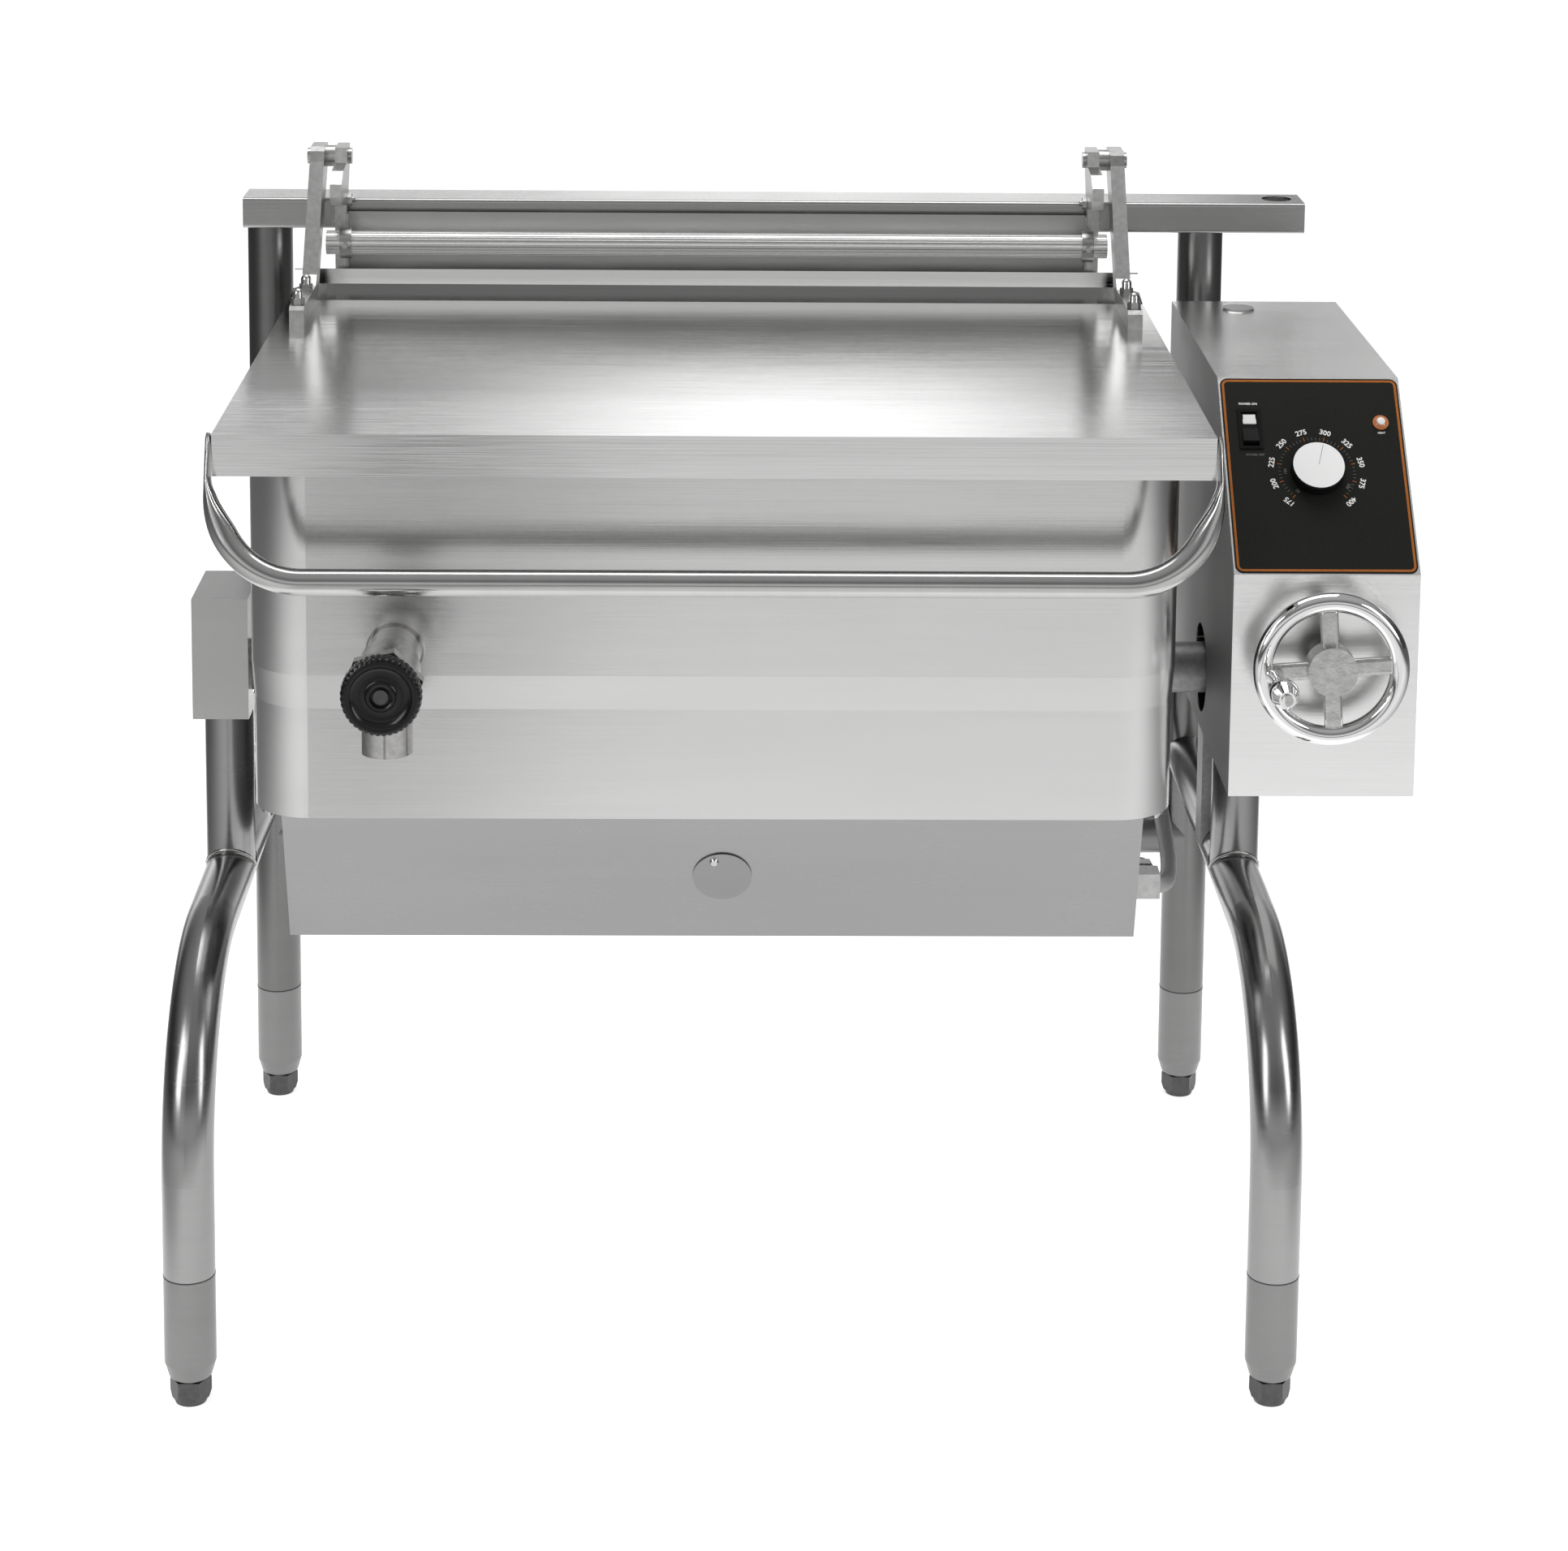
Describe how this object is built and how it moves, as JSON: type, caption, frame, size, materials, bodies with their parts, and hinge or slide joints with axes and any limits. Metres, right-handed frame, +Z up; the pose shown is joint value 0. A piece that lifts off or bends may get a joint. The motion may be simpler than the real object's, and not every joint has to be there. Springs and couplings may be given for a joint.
{
  "type": "tilting bratt pan",
  "caption": "Gas tilting bratt pan in stainless steel on open tube legs, with a hinged lid, a crank-driven worm tilt, a control console and a draw-off valve.",
  "frame": {"origin": "on the floor under the middle of the outline", "axes": "+X to the right as the operator faces it, +Y to the back, +Z up"},
  "size_m": [1.237, 0.8918, 1.135],
  "materials": {
    "stand_steel": "satin brushed stainless tube",
    "sheet_steel": "brushed stainless sheet",
    "lid_steel": "fine brushed stainless, nearly mirror on the skirt",
    "heater_steel": "plain mill stainless",
    "cast_alloy": "satin cast alloy",
    "plate_steel": "bare plate steel",
    "bronze": "machined bronze",
    "chrome": "polished chrome",
    "hardware": "machined stainless",
    "foot_steel": "dark coated steel",
    "phenolic": "black moulded phenolic",
    "panel_film": "black printed film",
    "dial_plastic": "white moulded plastic with a printed scale",
    "lamp_lens": "orange lens",
    "hose_braid": "grey sheathed hose"
  },
  "bodies": {
    "stand": {"bent_legs": "stand_steel", "rear_legs": "stand_steel", "trunnion_posts": "stand_steel", "gearbox_post": "plate_steel", "rear_stretcher": "stand_steel", "top_rail": "stand_steel", "leg_sleeves": "stand_steel", "left_bearing": "cast_alloy", "right_bearing": "cast_alloy", "left_cover": "sheet_steel", "console_shell": "sheet_steel", "console_back": "sheet_steel", "console_base": "sheet_steel", "gear_frame": "plate_steel", "worm_bearings": "bronze", "shaft_bushing": "phenolic", "panel_overlay": "panel_film", "hole_plug": "chrome", "thermostat_body": "plate_steel", "switch_body": "phenolic", "heat_lamp": "lamp_lens", "ignition_module": "plate_steel", "tilt_switch": "phenolic", "supply_bracket": "plate_steel", "gas_hose": "hose_braid"},
    "pan": {"pan_vessel": "sheet_steel", "heating_plate": "plate_steel", "pan_skirt": "sheet_steel", "skirt_bolts": "hardware", "heater_box": "heater_steel", "burners": "heater_steel", "gas_manifold": "heater_steel", "gas_valve": "cast_alloy", "flue_duct": "sheet_steel", "trunnion_left": "plate_steel", "trunnion_right": "plate_steel", "sector_gear": "bronze", "hinge_brackets": "cast_alloy", "hinge_pins": "hardware", "balance_tube": "hardware", "tube_collars": "hardware", "valve_body": "cast_alloy", "port_screw": "hardware"},
    "lid": {"lid_panel": "lid_steel", "lid_handle": "hardware", "lid_arms": "cast_alloy", "arm_bolts": "hardware"},
    "crank": {"handwheel": "chrome", "worm_shaft": "hardware", "worm": "bronze"},
    "grip": {"wheel_grip": "chrome"},
    "dial": {"temperature_dial": "dial_plastic"},
    "rocker": {"power_rocker": "phenolic"},
    "cover": {"port_cover": "hardware"},
    "stem": {"valve_stem": "hardware"},
    "knob": {"valve_knob": "phenolic"},
    "foot_fl": {"foot_front_left": "foot_steel"},
    "foot_fr": {"foot_front_right": "foot_steel"},
    "foot_rl": {"foot_rear_left": "foot_steel"},
    "foot_rr": {"foot_rear_right": "foot_steel"}
  },
  "joints": [
    {"name": "pan_tilt", "type": "hinge", "parent": "stand", "child": "pan", "pos_m": [-0.0785, 0.01645, 0.643], "axis": [1, 0, 0], "range_deg": [0, 90], "deforming": ["gas_hose"]},
    {"name": "lid_lift", "type": "hinge", "parent": "pan", "child": "lid", "pos_m": [-0.0785, 0.38775, 1.122], "axis": [-1, 0, 0], "range_deg": [0, 85]},
    {"name": "crank_turn", "type": "hinge", "parent": "stand", "child": "crank", "pos_m": [0.526, 0.01645, 0.723], "axis": [0, 1, 0], "range_deg": [0, 4500]},
    {"name": "grip_spin", "type": "hinge", "parent": "crank", "child": "grip", "pos_m": [0.47021, -0.24655, 0.71812], "axis": [0, -1, 0], "continuous": true},
    {"name": "dial_turn", "type": "hinge", "parent": "stand", "child": "dial", "pos_m": [0.5258, -0.12904, 0.89113], "axis": [0, -0.7268, 0.6869], "range_deg": [-122, 153]},
    {"name": "rocker_tip", "type": "hinge", "parent": "stand", "child": "rocker", "pos_m": [0.462, -0.09135, 0.92227], "axis": [1, 0, 0], "range_deg": [0, 14]},
    {"name": "cover_swing", "type": "hinge", "parent": "pan", "child": "cover", "pos_m": [-0.0775, -0.26225, 0.53113], "axis": [0, -0.9276, -0.3736], "range_deg": [-100, 0]},
    {"name": "stem_slide", "type": "slide", "parent": "pan", "child": "stem", "axis": [0, -1, 0], "range_m": [0, 0.036]},
    {"name": "knob_turn", "type": "hinge", "parent": "stem", "child": "knob", "pos_m": [-0.3855, -0.35555, 0.754], "axis": [0, -1, 0], "range_deg": [0, 3240.5]},
    {"name": "foot_fl_screw", "type": "slide", "parent": "stand", "child": "foot_fl", "axis": [0, 0, -1], "range_m": [0, 0.04]},
    {"name": "foot_fr_screw", "type": "slide", "parent": "stand", "child": "foot_fr", "axis": [0, 0, -1], "range_m": [0, 0.04]},
    {"name": "foot_rl_screw", "type": "slide", "parent": "stand", "child": "foot_rl", "axis": [0, 0, -1], "range_m": [0, 0.04]},
    {"name": "foot_rr_screw", "type": "slide", "parent": "stand", "child": "foot_rr", "axis": [0, 0, -1], "range_m": [0, 0.04]}
  ],
  "couplings": [
    {"joint": "crank_turn", "follows": "pan_tilt", "ratio": 50},
    {"joint": "knob_turn", "follows": "stem_slide", "rad_per_m": 1570.8}
  ]
}
